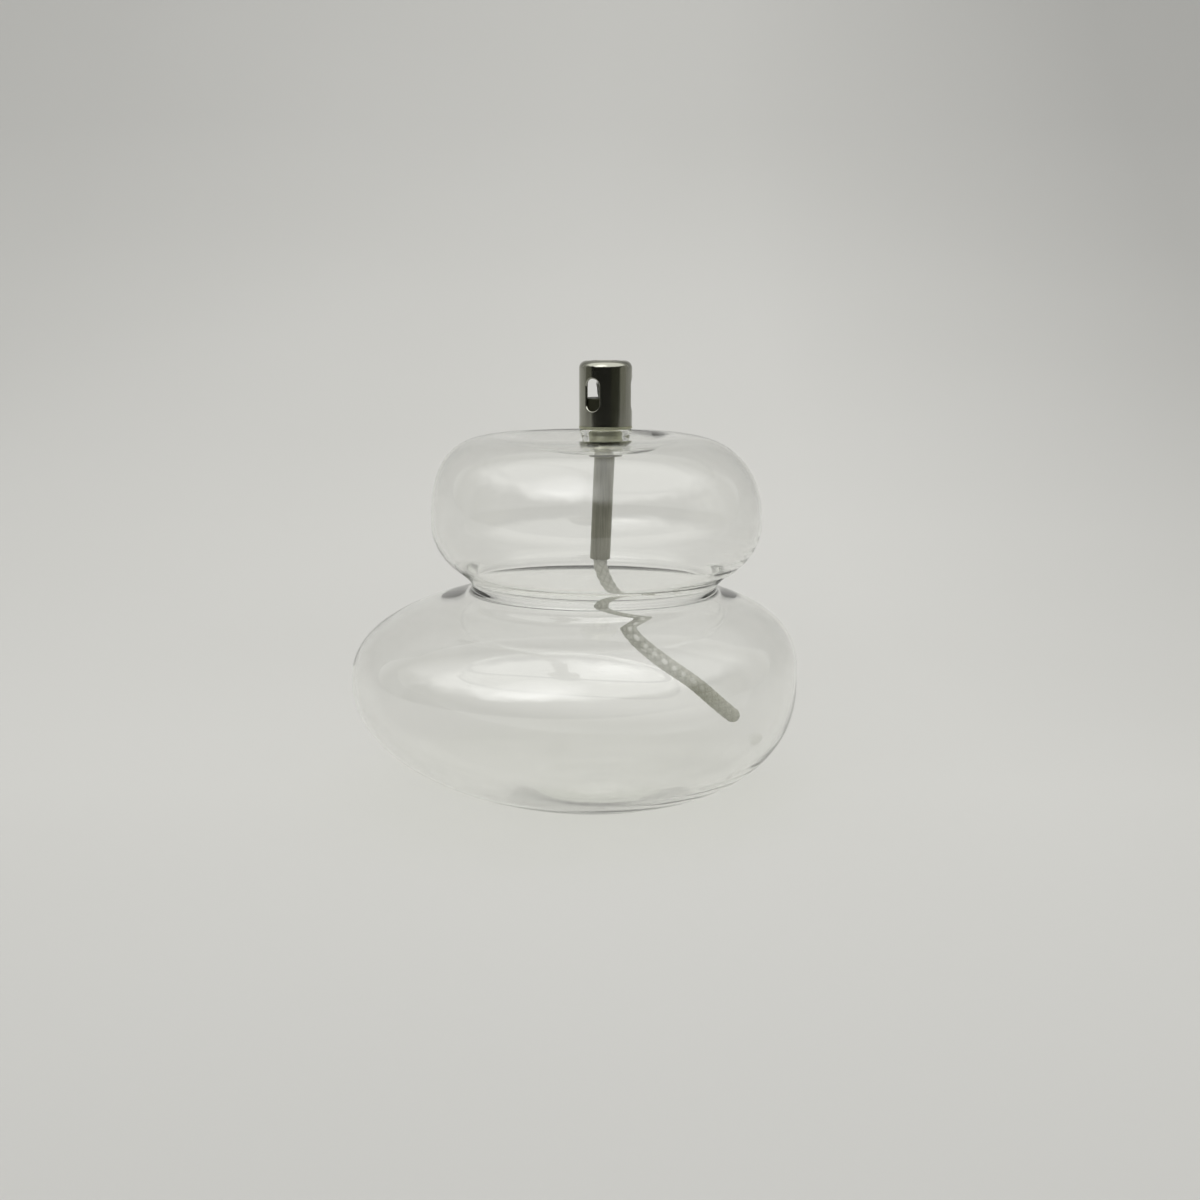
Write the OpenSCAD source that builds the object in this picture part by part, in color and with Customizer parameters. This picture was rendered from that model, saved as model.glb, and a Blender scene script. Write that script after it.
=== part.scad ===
// Oil lamp: a clear blown-glass vessel of two stacked pebbles, with a metal burner in its mouth.
// Millimetres, +Z up. The lamp stands on z = 0, and the Z axis runs through the lower pebble's
// widest ring. The burner's own axis stands burner_x to the +X side of it.

/* [Lower pebble] */
// Greatest outside diameter of the lower pebble
belly_d = 154.6; // [145:0.2:170]
// Height of its widest ring
belly_z = 42.2; // [38:0.2:46]
// Height from the widest ring to the point where its crown would close
belly_rise = 32.6; // [30:0.5:34]
// Roundness of its upper half, where 2 is an ellipse and more is squarer
belly_top_n = 2.5; // [2.2:0.1:3]
// Roundness of its lower half
belly_low_n = 2.2; // [2:0.1:2.6]
// Diameter of the flat that it stands on
base_d = 40; // [30:1:60]

/* [Upper pebble] */
// Greatest outside diameter of the upper pebble
shoulder_d = 113.4; // [106:0.2:124]
// Height of its widest ring
shoulder_z = 95.2; // [92:0.2:98]
// Height from the widest ring down to the underside's lowest point
under_drop = 23; // [21:0.2:25]
// Diameter at which the underside would be level
under_d = 46; // [36:1:54]
// Roundness of its underside
under_n = 2; // [1.8:0.1:2.4]
// Height from the widest ring up to the top rim
rim_rise = 30.2; // [28:0.2:33]
// Diameter of the top rim, where the surface turns over into the dish
rim_d = 54; // [48:1:62]
// Roundness of its shoulder
shoulder_n = 2.5; // [2:0.1:3]
// Diameter of the dish's flat floor
dish_d = 26; // [22:1:32]
// Depth of the dish below the top rim
dish_depth = 3.8; // [2:0.2:6]

/* [Waist] */
// Diameter at which the fold between the two pebbles starts
fold_d = 94; // [90:1:98]
// How much further out its inner face starts, on the lower pebble
fold_out = 4; // [1:0.5:6]
// How much further in its inner face starts, on the upper pebble
fold_in = 2.5; // [1:0.5:4]

/* [Off-centre] */
// How far the burner and the mouth stand to the side of the lower pebble's widest ring
burner_x = 10.7; // [4:0.1:16]
// How far the base flat does
base_x = 8.7; // [0:0.1:12]
// How far the waist and the upper pebble's widest ring do
waist_x = 7.7; // [2:0.1:12]
// How far the top rim does
rim_x = 5.1; // [0:0.1:12]

/* [Glass] */
// Thickness of the blown wall
wall = 1.3; // [1:0.1:3]
// Thickness of the floor
floor_t = 2.6; // [1.8:0.1:4]

/* [Mouth] */
// Bore of the mouth
mouth_bore = 12; // [11:0.1:13]
// Outside diameter of its lip
lip_d = 18; // [17:0.1:20]
// Outside diameter of its foot, where it stands in the dish
foot_d = 15.5; // [15:0.1:17]
// Height of the mouth above the dish's floor
mouth_h = 6; // [4:0.1:9]
// Radius of the fire-polished edges of the lip
lip_round = 0.8; // [0.4:0.1:1.2]

/* [Burner] */
// Diameter of the flange that rests on the lip
flange_d = 18; // [17:0.1:20]
// Thickness of the flange
flange_t = 0.8; // [0.5:0.1:2]
// Height of the head above the flange
head_h = 9.5; // [7:0.1:12]
// Gap all round between the spigot and the mouth's bore
mouth_gap = 0.35; // [0.3:0.05:0.5]
// Length of the spigot below the flange
spigot_len = 7.1; // [6:0.1:8]
// Thickness of the ring at the spigot's lower end
ring_t = 1.2; // [0.8:0.1:2]
// Outside diameter of the wick tube
tube_d = 7; // [6.6:0.1:7.4]
// Length of the wick tube
tube_len = 42.6; // [36:0.2:46]
// How deep the tube is pressed into the spigot
socket_depth = 5.5; // [3:0.5:6]
// Lean of the tube, towards -X
tube_lean = 2.4; // [0:0.1:2.6]

/* [Flame cap] */
// Outside diameter of the cap
cap_d = 18; // [17.8:0.1:19]
// Height of the cap
cap_h = 22; // [19:0.5:26]
// Thickness of its sheet metal
cap_wall = 0.8; // [0.5:0.1:1]
// Outside radius of its rounded top edge
cap_round = 2.6; // [1.5:0.1:4]
// Diameter of the flame hole in its top
flame_hole_d = 10; // [7:0.5:11]
// Number of air slots round the cap
slot_count = 3; // [2:1:4]
// Width of an air slot
slot_w = 4.9; // [3:0.1:6]
// Length of an air slot
slot_len = 10.8; // [7:0.2:12]
// Height of an air slot's lower end above the cap's edge
slot_rise = 5.3; // [4:0.1:8]
// Turn of the first slot from the front, towards -X
slot_turn = 30.5; // [0:0.5:60]
// Running clearance between the cap and the burner's head
cap_fit = 0.08; // [0.02:0.01:0.1]

/* [Wick] */
// Diameter of the braided wick
wick_d = 5; // [4.4:0.1:5.2]
// Diameter to which the tube and the spigot hold it
held_d = 4.8; // [4.2:0.1:4.9]
// Gap all round between the wick and its bores
wick_gap = 0.3; // [0.2:0.05:0.4]
// Height that the wick stands above the burner's head
wick_proud = 7; // [3:0.5:9]
// Diameter of the splayed fibres at its lit end
splay_d = 7.6; // [5.4:0.1:9]

/* [Hidden] */
$fn = 96;

// Heights that follow from the sizes above
rim_z = shoulder_z + rim_rise;
dish_z = rim_z - dish_depth;
lip_z = dish_z + mouth_h;
cap_z = lip_z + flange_t;
head_z = cap_z + head_h;
ring_z = lip_z - spigot_len - ring_t;
waist_z = belly_z + belly_rise;

// Radii that follow
mouth_r = mouth_bore / 2;
spigot_r = mouth_r - mouth_gap;
wick_r = wick_d / 2;
held_r = held_d / 2;
head_bore_r = wick_r + wick_gap;
tube_bore_r = held_r + wick_gap;
cap_in_r = cap_d / 2 - cap_wall;

// Depth of the lower half, so that it has the base flat's diameter at z = 0
belly_drop = belly_z / pow(1 - pow(base_d / belly_d, belly_low_n), 1 / belly_low_n);

// Steps of the glass mesh: around it, and along each stretch of its outline
ROUND = 48;
BELLY_STEPS = 8;
SHOULDER_STEPS = 7;
FOLD_STEPS = 5;
DISH_STEPS = 5;

// Overlap that joins the blown shell to its mouth
JOIN = 0.6;
// Small step that keeps cutters clear of the faces that they cut
EPS = 0.5;

// How far below the tube's mouth the free end of the wick turns
TAIL_DROP = 0.8;

// The free end of the wick, from just below the tube to its rounded end on the glass
WICK_ROUTE = [
  [8.8, 0, 81.5], [9.1, 0.1, 79], [9.8, 0.4, 76.4], [10.8, 0.8, 73.4], [12.1, 1.4, 70],
  [13.7, 2, 66.2], [15.6, 2.8, 62.4], [17.8, 3.7, 58.7], [20.4, 4.8, 55], [23.6, 6.1, 51.5],
  [27.4, 7.7, 48], [31.6, 9.4, 44.6], [35.8, 11.2, 41.3], [40.1, 13, 37.9], [44.3, 14.7, 34.2],
  [48.7, 16.5, 29.9], [53, 18.3, 25.7], [57, 20, 21.9], [59.7, 21.1, 19.4]
];
WICK_SIDES = 12;

// One ring of a rounded half: r and z from the angle a, 0 at the widest ring and 90 at the pole
function round_r(r, n, a) = r * pow(cos(a), 2 / n);
function round_z(h, n, a) = h * pow(sin(a), 2 / n);
// The angle at which such a half has shrunk to a share of its radius, or risen to one of its height
function angle_at_r(share, n) = acos(pow(share, n / 2));
function angle_at_z(share, n) = asin(pow(share, n / 2));
function between(a, b, t) = a + (b - a) * t;
function bezier(a, b, c, t) = between(between(a, b, t), between(b, c, t), t);

// How far a ring at height z of the lower pebble stands to the side
function belly_x(z) = z < belly_z
  ? base_x * pow((belly_z - z) / belly_z, 2)
  : waist_x * pow(min(1, (z - belly_z) / (waist_z - belly_z)), 2);

// Radius and height of the rings, from the base up to the mouth's foot, for the surface that lies
// inset inside the outer one, with the fold between two radii. Each ring is [radius, height, centre x].
function belly_low(inset, low) =
  let (r = belly_d / 2 - inset, h = belly_drop - low, n = belly_low_n)
  let (start = angle_at_z(min(1, (belly_z - low) / h), n))
  [for (i = [0 : BELLY_STEPS - 1])
    let (a = between(start, 0, i / BELLY_STEPS), z = belly_z - round_z(h, n, a))
    [round_r(r, n, a), z, belly_x(z)]];

function belly_top(inset, fold_r) =
  let (r = belly_d / 2 - inset, h = belly_rise - inset, n = belly_top_n)
  let (stop = angle_at_r(fold_r / r, n))
  [for (i = [0 : BELLY_STEPS])
    let (a = between(0, stop, i / BELLY_STEPS), z = belly_z + round_z(h, n, a))
    [round_r(r, n, a), z, belly_x(z)]];

function under(inset, fold_r) =
  let (in_r = under_d / 2, r = shoulder_d / 2 - inset - in_r, h = under_drop - inset, n = under_n)
  let (start = angle_at_r((fold_r - in_r) / r, n))
  [for (i = [0 : SHOULDER_STEPS - 1])
    let (a = between(start, 0, i / SHOULDER_STEPS))
    [in_r + round_r(r, n, a), shoulder_z - round_z(h, n, a), waist_x]];

function shoulder(inset) =
  let (rim_r = rim_d / 2, r = shoulder_d / 2 - inset - rim_r, h = rim_rise - inset, n = shoulder_n)
  [for (i = [0 : SHOULDER_STEPS])
    let (a = between(0, 90, i / SHOULDER_STEPS), z = round_z(h, n, a))
    [rim_r + round_r(r, n, a), shoulder_z + z, between(waist_x, rim_x, pow(z / h, 2))]];

function dish(inset) =
  [for (i = [1 : DISH_STEPS])
    let (t = i / DISH_STEPS, s = (1 - cos(180 * t)) / 2)
    [between(rim_d, dish_d, t) / 2, rim_z - inset - dish_depth * s, between(rim_x, burner_x, s)]];

// The fold runs from the lower pebble's last ring to the underside's first one, tangent to both
function fold(a2, a1, b1, b2) =
  let (sa = (a1[1] - a2[1]) / (a1[0] - a2[0]), sb = (b2[1] - b1[1]) / (b2[0] - b1[0]))
  let (r = (b1[1] - a1[1] + sa * a1[0] - sb * b1[0]) / (sa - sb))
  let (tip = [r, a1[1] + sa * (r - a1[0]), between(a1[2], b1[2], 0.5)])
  [for (i = [1 : FOLD_STEPS - 1]) bezier(a1, tip, b1, i / FOLD_STEPS)];

function skin(inset, low, fold_low_r, fold_high_r) =
  let (a = belly_top(inset, fold_low_r), b = under(inset, fold_high_r), n = len(a) - 1)
  concat(
    belly_low(inset, low), a, fold(a[n - 1], a[n], b[0], b[1]), b, shoulder(inset), dish(inset),
    [[foot_d / 2 - JOIN, dish_z - inset, burner_x]]
  );

function reversed(list) = [for (i = [len(list) - 1 : -1 : 0]) list[i]];

// A closed solid through a list of rings of count points each, with flat ends
module ring_solid(rings, count) {
  points = [for (ring = rings) each ring];
  last = len(rings) - 1;
  sides = [
    for (i = [0 : last - 1], j = [0 : count - 1])
      let (a = i * count + j, b = i * count + (j + 1) % count)
      each [[a, a + count, b], [b, a + count, b + count]]
  ];
  ends = [[for (j = [0 : count - 1]) j], [for (j = [count - 1 : -1 : 0]) last * count + j]];
  polyhedron(points, concat(sides, ends), convexity = 8);
}

function circle_points(ring) =
  [for (j = [0 : ROUND - 1])
    let (a = 360 * j / ROUND)
    [ring[2] + ring[0] * cos(a), ring[0] * sin(a), ring[1]]];

// A quarter of a rounded corner in a profile, from angle a to angle b about a centre
function corner(x, y, r, a, b) =
  [for (i = [0 : 4]) let (t = between(a, b, i / 4)) [x + r * cos(t), y + r * sin(t)]];

module blown_shell() {
  fold_r = fold_d / 2;
  outer = skin(0, 0, fold_r, fold_r);
  inner = skin(wall, floor_t, fold_r + fold_out, fold_r - fold_in);
  rings = concat(outer, reversed(inner));
  ring_solid([for (ring = rings) circle_points(ring)], ROUND);
}

// The upstanding mouth: a thick flared collar of glass, with a polished lip that ends in a flat
module mouth_ring() {
  bottom = dish_z - wall - EPS;
  rotate_extrude()
    polygon(concat(
      [[mouth_r, bottom], [foot_d / 2, bottom], [foot_d / 2, dish_z]],
      corner(lip_d / 2 - lip_round, lip_z - lip_round, lip_round, 0, 90),
      corner(mouth_r + lip_round, lip_z - lip_round, lip_round, 90, 180)
    ));
}

module glass_vessel()
  color([0.80, 0.86, 0.84, 0.45])
    union() {
      blown_shell();
      translate([burner_x, 0, 0])
        mouth_ring();
    }

// Places its children along the tube's leaning axis, which crosses the burner's at the lip
module along_tube(drop)
  translate([burner_x, 0, lip_z])
    rotate([0, tube_lean, 0])
      translate([0, 0, -drop])
        children();

tube_top = spigot_len + ring_t - socket_depth;
tube_end = tube_top + tube_len;

// The turned body: head, flange and spigot in one piece, bored for the wick and for its tube
module burner_body()
  color([0.42, 0.43, 0.40])
    difference() {
      translate([burner_x, 0, 0])
        union() {
          translate([0, 0, cap_z - EPS])
            cylinder(r = cap_in_r - cap_fit, h = head_h + EPS);
          translate([0, 0, lip_z])
            cylinder(d = flange_d, h = flange_t);
          translate([0, 0, lip_z - spigot_len])
            cylinder(r = spigot_r, h = spigot_len + EPS);
        }
      translate([burner_x, 0, lip_z - EPS])
        cylinder(r = head_bore_r, h = flange_t + head_h + 2 * EPS);
      along_tube(spigot_len + EPS)
        cylinder(r = tube_bore_r, h = spigot_len + EPS);
      along_tube(spigot_len + EPS)
        cylinder(d = tube_d, h = spigot_len + EPS - tube_top);
    }

// The plain ring that closes the spigot's lower end round the tube
module retaining_ring()
  color([0.55, 0.55, 0.53])
    difference() {
      translate([burner_x, 0, ring_z])
        cylinder(r = spigot_r, h = ring_t);
      along_tube(spigot_len + ring_t + EPS)
        cylinder(d = tube_d, h = ring_t + 2 * EPS);
    }

module wick_tube()
  color([0.60, 0.60, 0.56])
    along_tube(tube_end)
      difference() {
        cylinder(d = tube_d, h = tube_len);
        translate([0, 0, -EPS])
          cylinder(r = tube_bore_r, h = tube_len + 2 * EPS);
      }

// The held stretch of the wick, from just inside the tube's end to the splayed fibres at the top
module wick_core() {
  stop = tube_end + TAIL_DROP - wick_r - wick_gap;
  color([0.90, 0.89, 0.85])
    union() {
      along_tube(stop)
        cylinder(r = held_r, h = stop);
      translate([burner_x, 0, lip_z - EPS])
        cylinder(r = wick_r, h = head_z - lip_z + 2 * EPS);
      translate([burner_x, 0, head_z + EPS])
        cylinder(r1 = wick_r, r2 = splay_d / 2, h = wick_proud - EPS);
    }
}

// Unit direction of the wick's route at point i
function way(i) =
  let (d = WICK_ROUTE[min(i + 1, len(WICK_ROUTE) - 1)] - WICK_ROUTE[max(i - 1, 0)])
  d / norm(d);

// One ring of the wick: its route point, moved along the route, with a given radius
function wick_ring(i, move, r) =
  let (d = way(i), u = cross(d, [0, 1, 0]) / norm(cross(d, [0, 1, 0])), v = cross(d, u))
  [for (j = [0 : WICK_SIDES - 1])
    let (a = 360 * j / WICK_SIDES)
    WICK_ROUTE[i] + move * d + r * (cos(a) * u + sin(a) * v)];

// The free end of the wick: round at both ends, so that it can turn below the tube
module wick_tail() {
  last = len(WICK_ROUTE) - 1;
  rounding = [75, 50, 25];
  color([0.90, 0.89, 0.85])
    ring_solid(concat(
      [for (a = rounding) wick_ring(0, -wick_r * sin(a), wick_r * cos(a))],
      [for (i = [0 : last]) wick_ring(i, 0, wick_r)],
      [for (a = reversed(rounding)) wick_ring(last, wick_r * sin(a), wick_r * cos(a))]
    ), WICK_SIDES);
}

// Half of the cap's wall seen in section, from the axis outwards
module cap_profile() {
  r = cap_d / 2;
  inner_round = cap_round - cap_wall;
  polygon(concat(
    [[cap_in_r, 0], [r, 0]],
    corner(r - cap_round, cap_h - cap_round, cap_round, 0, 90),
    [[flame_hole_d / 2, cap_h], [flame_hole_d / 2, cap_h - cap_wall]],
    corner(cap_in_r - inner_round, cap_h - cap_wall - inner_round, inner_round, 90, 0)
  ));
}

module air_slot(reach) {
  lower = slot_rise + slot_w / 2;
  upper = slot_rise + slot_len - slot_w / 2;
  for (z = [lower, upper])
    translate([0, 0, z])
      rotate([90, 0, 0])
        cylinder(d = slot_w, h = reach);
  translate([-slot_w / 2, -reach, lower])
    cube([slot_w, reach, upper - lower]);
}

module flame_cap()
  color([0.30, 0.31, 0.28])
    translate([burner_x, 0, cap_z])
      difference() {
        rotate_extrude()
          cap_profile();
        for (i = [0 : slot_count - 1])
          rotate([0, 0, -slot_turn - i * 360 / slot_count])
            air_slot(cap_d);
      }

glass_vessel();
burner_body();
retaining_ring();
wick_tube();
wick_core();
wick_tail();
flame_cap();
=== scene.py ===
"""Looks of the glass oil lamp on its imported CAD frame: blown glass, burner, slotted cap and wick.

Shapes are given in mm in the frame's own axes. MM turns them into metres where vertices are made.
"""
import math
import random

import bmesh
import bpy
from mathutils import Matrix, Vector


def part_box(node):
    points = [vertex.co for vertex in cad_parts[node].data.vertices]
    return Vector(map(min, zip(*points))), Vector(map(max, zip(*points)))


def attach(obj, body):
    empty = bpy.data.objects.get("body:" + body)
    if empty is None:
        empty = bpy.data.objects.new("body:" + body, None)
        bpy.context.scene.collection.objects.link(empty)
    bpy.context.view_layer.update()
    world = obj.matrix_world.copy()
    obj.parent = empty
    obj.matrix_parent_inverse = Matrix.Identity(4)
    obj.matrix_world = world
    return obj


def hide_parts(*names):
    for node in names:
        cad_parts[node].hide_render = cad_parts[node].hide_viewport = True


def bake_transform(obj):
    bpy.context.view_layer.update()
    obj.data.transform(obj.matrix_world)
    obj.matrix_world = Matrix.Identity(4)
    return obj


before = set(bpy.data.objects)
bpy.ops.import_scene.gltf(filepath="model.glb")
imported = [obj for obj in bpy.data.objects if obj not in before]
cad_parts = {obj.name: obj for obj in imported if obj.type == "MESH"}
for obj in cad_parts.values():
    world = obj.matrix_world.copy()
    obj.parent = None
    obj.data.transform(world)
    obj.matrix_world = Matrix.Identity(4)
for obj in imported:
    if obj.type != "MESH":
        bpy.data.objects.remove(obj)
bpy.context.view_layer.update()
MM = 0.001

# ---------------------------------------------------------------- places taken from the CAD
cap_low, cap_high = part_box("flame_cap")
ring_low, ring_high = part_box("retaining_ring")
_, glass_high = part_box("glass_vessel")
BURNER_X = (cap_low.x + cap_high.x) / 2 / MM
CAP_Z = cap_low.z / MM
CAP_H = (cap_high.z - cap_low.z) / MM
LIP_Z = glass_high.z / MM
RING_Z, RING_TOP = ring_low.z / MM, ring_high.z / MM
TUBE_LEAN = math.radians(2.4)

# ---------------------------------------------------------------- camera
FOCAL_PX, FRAME_PX, SENSOR_MM = 1464.0, 1200.0, 36.0
CAMERA_LEFT, CAMERA_BACK, CAMERA_UP, CAMERA_DIP = 0.0019, 0.5, 0.1623, 10.66
camera = bpy.data.objects.new("camera", bpy.data.cameras.new("camera"))
camera.data.sensor_width = SENSOR_MM
camera.data.lens = SENSOR_MM * FOCAL_PX / FRAME_PX
camera.data.clip_start = 0.01
camera.location = (BURNER_X * MM - CAMERA_LEFT, -CAMERA_BACK, CAMERA_UP)
camera.rotation_euler = (math.radians(90 - CAMERA_DIP), 0, 0)
bpy.context.scene.collection.objects.link(camera)
bpy.context.scene.camera = camera
bpy.context.scene.view_settings.view_transform = "Standard"


# ---------------------------------------------------------------- node helpers
class Nodes:
    """A small hand for building the node tree of a material or a world."""

    def __init__(self, owner, output):
        self.owner = owner
        owner.use_nodes = True
        self.tree = owner.node_tree
        self.tree.nodes.clear()
        self.output = self.add(output)

    def add(self, kind, **settings):
        node = self.tree.nodes.new("ShaderNode" + kind)
        for key, value in settings.items():
            setattr(node, key, value)
        return node

    def feed(self, socket, value):
        """Links the output of another node to a socket, or sets the socket to a constant."""
        if isinstance(value, bpy.types.NodeSocket):
            self.tree.links.new(value, socket)
        else:
            socket.default_value = value

    def surface(self, shader):
        self.feed(self.output.inputs["Surface"], shader)

    def principled(self, **values):
        node = self.add("BsdfPrincipled")
        for key, value in values.items():
            node.inputs[key.replace("_", " ")].default_value = value
        return node

    def position(self, scale=(1, 1, 1), location=(0, 0, 0), source="Object"):
        node = self.add("Mapping")
        node.inputs["Scale"].default_value = scale
        node.inputs["Location"].default_value = location
        self.feed(node.inputs["Vector"], self.add("TexCoord").outputs[source])
        return node.outputs["Vector"]

    def axes(self, vector):
        node = self.add("SeparateXYZ")
        self.feed(node.inputs[0], vector)
        return node.outputs

    def noise(self, vector, scale, detail=4.0, roughness=0.5):
        node = self.add("TexNoise")
        node.inputs["Scale"].default_value = scale
        node.inputs["Detail"].default_value = detail
        node.inputs["Roughness"].default_value = roughness
        self.feed(node.inputs["Vector"], vector)
        return node.outputs["Fac"]

    def math(self, operation, *values):
        node = self.add("Math", operation=operation)
        for socket, value in zip(node.inputs, values):
            self.feed(socket, value)
        return node.outputs[0]

    def ramp(self, factor, *stops):
        """A colour ramp through (place, colour) stops. A single number as colour is a grey."""
        node = self.add("ValToRGB")
        elements = node.color_ramp.elements
        while len(elements) < len(stops):
            elements.new(0.5)
        for element, (place, colour) in zip(elements, stops):
            element.position = place
            element.color = (*colour, 1) if isinstance(colour, tuple) else (*(colour,) * 3, 1)
        self.feed(node.inputs["Fac"], factor)
        return node.outputs["Color"]

    def mapped(self, value, low=0.0, high=1.0, start=0.0, stop=1.0):
        """The value, which runs from start to stop, spread from low to high."""
        node = self.add("MapRange")
        ends = (("From Min", start), ("From Max", stop), ("To Min", low), ("To Max", high))
        for name, end in ends:
            node.inputs[name].default_value = end
        self.feed(node.inputs["Value"], value)
        return node.outputs["Result"]

    def colours(self, blend_type, factor, first, second):
        node = self.add("Mix", data_type="RGBA", blend_type=blend_type)
        for index, value in ((0, factor), (6, first), (7, second)):
            self.feed(node.inputs[index], value)
        return node.outputs[2]

    def shaders(self, factor, first, second):
        node = self.add("MixShader")
        for socket, value in zip(node.inputs, (factor, first, second)):
            self.feed(socket, value)
        return node.outputs[0]

    def bump(self, height, strength, distance, shader):
        node = self.add("Bump")
        node.inputs["Strength"].default_value = strength
        node.inputs["Distance"].default_value = distance
        self.feed(node.inputs["Height"], height)
        self.feed(shader.inputs["Normal"], node.outputs["Normal"])


def new_material(name):
    return Nodes(bpy.data.materials.new(name), "OutputMaterial")


# ---------------------------------------------------------------- mesh helpers
def add_object(name, bm, material):
    mesh = bpy.data.meshes.new(name)
    bm.to_mesh(mesh)
    bm.free()
    mesh.shade_smooth()
    mesh.materials.append(material)
    obj = bpy.data.objects.new(name, mesh)
    bpy.context.scene.collection.objects.link(obj)
    return obj


def add_solid(name, bm, material, smooth_angle=None):
    bmesh.ops.recalc_face_normals(bm, faces=bm.faces)
    obj = add_object(name, bm, material)
    if smooth_angle is not None:
        obj.data.set_sharp_from_angle(angle=math.radians(smooth_angle))
    return obj


def skin_rings(bm, rings, count, close=False):
    """Quads between rings of vertices, from the last to the first too if close. A ring of one
    vertex is a pole."""
    pairs = list(zip(rings, rings[1:])) + ([(rings[-1], rings[0])] if close else [])
    for a, b in pairs:
        for j in range(count):
            k = (j + 1) % count
            corners = [a[j % len(a)], a[k % len(a)], b[k % len(b)], b[j % len(b)]]
            bm.faces.new([v for i, v in enumerate(corners) if v not in corners[:i]])


def around(count):
    """The angles of count even steps round a circle."""
    return [2 * math.pi * j / count for j in range(count)]


POLE_R = 1e-6


def lathe(profile, count, close=False, shape=lambda r, z, a: r):
    """A turned solid from (r, z, centre x) points. shape may change the radius round the turn."""
    bm = bmesh.new()
    rings = []
    for r, z, x in profile:
        ring = []
        for a in around(count)[:1 if r < POLE_R else count]:
            out = shape(r, z, a)
            place = (x + out * math.cos(a)) * MM, out * math.sin(a) * MM, z * MM
            ring.append(bm.verts.new(place))
        rings.append(ring)
    skin_rings(bm, rings, count, close)
    return bm


def arc(x, z, r, start, stop, steps=6):
    """Points of a corner of a profile, angles in degrees."""
    points = []
    for i in range(steps + 1):
        a = math.radians(start + (stop - start) * i / steps)
        points.append((x + r * math.cos(a), z + r * math.sin(a)))
    return points


def even(points, step):
    """The same line in points about step apart, with its ends kept."""
    length = [0.0]
    for p, q in zip(points, points[1:]):
        length.append(length[-1] + math.dist(p, q))
    count = max(1, round(length[-1] / step))
    result, k = [], 0
    for i in range(count + 1):
        at = length[-1] * i / count
        while k < len(points) - 2 and length[k + 1] < at:
            k += 1
        span = length[k + 1] - length[k]
        t = 0 if span < 1e-12 else min(1, max(0, (at - length[k]) / span))
        result.append(tuple(a + (b - a) * t for a, b in zip(points[k], points[k + 1])))
    return result


def on_burner(points):
    """The (r, z) points of a profile, centred on the burner."""
    return [(r, z, BURNER_X) for r, z in points]


# ---------------------------------------------------------------- the blown vessel
# A lower pebble (belly) and an upper one (shoulder), with a fold between them and a dish round the
# mouth. _N is the power of a rounded outline: 2 is an ellipse, more is squarer. _X is the centre.
BELLY_R, BELLY_Z, BELLY_RISE, BELLY_TOP_N, BELLY_LOW_N = 77.3, 42.2, 32.6, 2.5, 2.2
BASE_R, FLOOR_T = 20.0, 2.2
SHOULDER_R, SHOULDER_Z, UNDER_DROP, UNDER_R, UNDER_N = 56.7, 95.2, 23.0, 23.0, 2.0
RIM_RISE, RIM_R, SHOULDER_N, DISH_R, DISH_DEPTH = 30.2, 29.5, 2.5, 11.2, 3.8
FOLD_R, FOLD_LOW_R, FOLD_HIGH_R = 47.0, 51.9, 44.3
BASE_X, WAIST_X, RIM_X = 8.7, 7.7, 5.1
WALL, FOLD_WALL = 1.2, 1.4
MOUTH_R, LIP_R, LIP_ROUND, FOOT_ROUND = 6.0, 9.0, 0.8, 0.9
RIM_Z = SHOULDER_Z + RIM_RISE
DISH_Z = RIM_Z - DISH_DEPTH
WAIST_Z = BELLY_Z + BELLY_RISE
BELLY_DROP = BELLY_Z / (1 - (BASE_R / BELLY_R) ** BELLY_LOW_N) ** (1 / BELLY_LOW_N)
PEBBLE_STEPS, DISH_STEPS, FOLD_STEPS, LEAD_STEPS, VESSEL_SIDES = 160, 40, 60, 24, 192

# The unevenness of the glass: its sizes, the offsets that keep it inwards, the radius where it
# starts and the run to its full size.
WAVE, WAVE_OFFSET, FINE, FINE_OFFSET = 0.035, 2.2, 0.022, 1.6
STILL_R, FULL_RUN = 14, 30
# Two patches of blowing marks: depth, turn, its spread, height, its spread, pitch and slant.
MARKS = ((0.14, -2, 34, 84, 9, 3.4, 5), (0.10, -48, 26, 12, 7, 3.1, 6))
# The tool marks: the neck that has them, the radius that keeps the bore smooth, and their size.
NECK_R, PULLED_R, PULL, PULL_OFFSET = 12, 7.5, 0.07, 2.4
ABSORBED, DENSITY = (0.62, 0.72, 0.46, 1), 10.0


def rounded(r, h, n, a):
    return r * max(0.0, math.cos(a)) ** (2 / n), h * max(0.0, math.sin(a)) ** (2 / n)


def belly_x(z):
    if z < BELLY_Z:
        return BASE_X * ((BELLY_Z - z) / BELLY_Z) ** 2
    return WAIST_X * min(1, (z - BELLY_Z) / (WAIST_Z - BELLY_Z)) ** 2


def belly(wall, floor, fold):
    """The lower pebble up to the radius fold, wall inside its outer face and floor at the base."""
    points = []
    start = math.asin(((BELLY_Z - floor) / (BELLY_DROP - floor)) ** (BELLY_LOW_N / 2))
    for i in range(PEBBLE_STEPS):
        t = 1 - i / PEBBLE_STEPS
        deep = wall + (floor - wall) * t ** 10
        r, z = rounded(BELLY_R - wall, BELLY_DROP - deep, BELLY_LOW_N, start * t)
        points.append((r, BELLY_Z - z, belly_x(BELLY_Z - z)))
    stop = math.acos((fold / (BELLY_R - wall)) ** (BELLY_TOP_N / 2))
    for i in range(PEBBLE_STEPS + 1):
        r, z = rounded(BELLY_R - wall, BELLY_RISE - wall, BELLY_TOP_N, stop * i / PEBBLE_STEPS)
        points.append((r, BELLY_Z + z, belly_x(BELLY_Z + z)))
    return points


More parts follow.
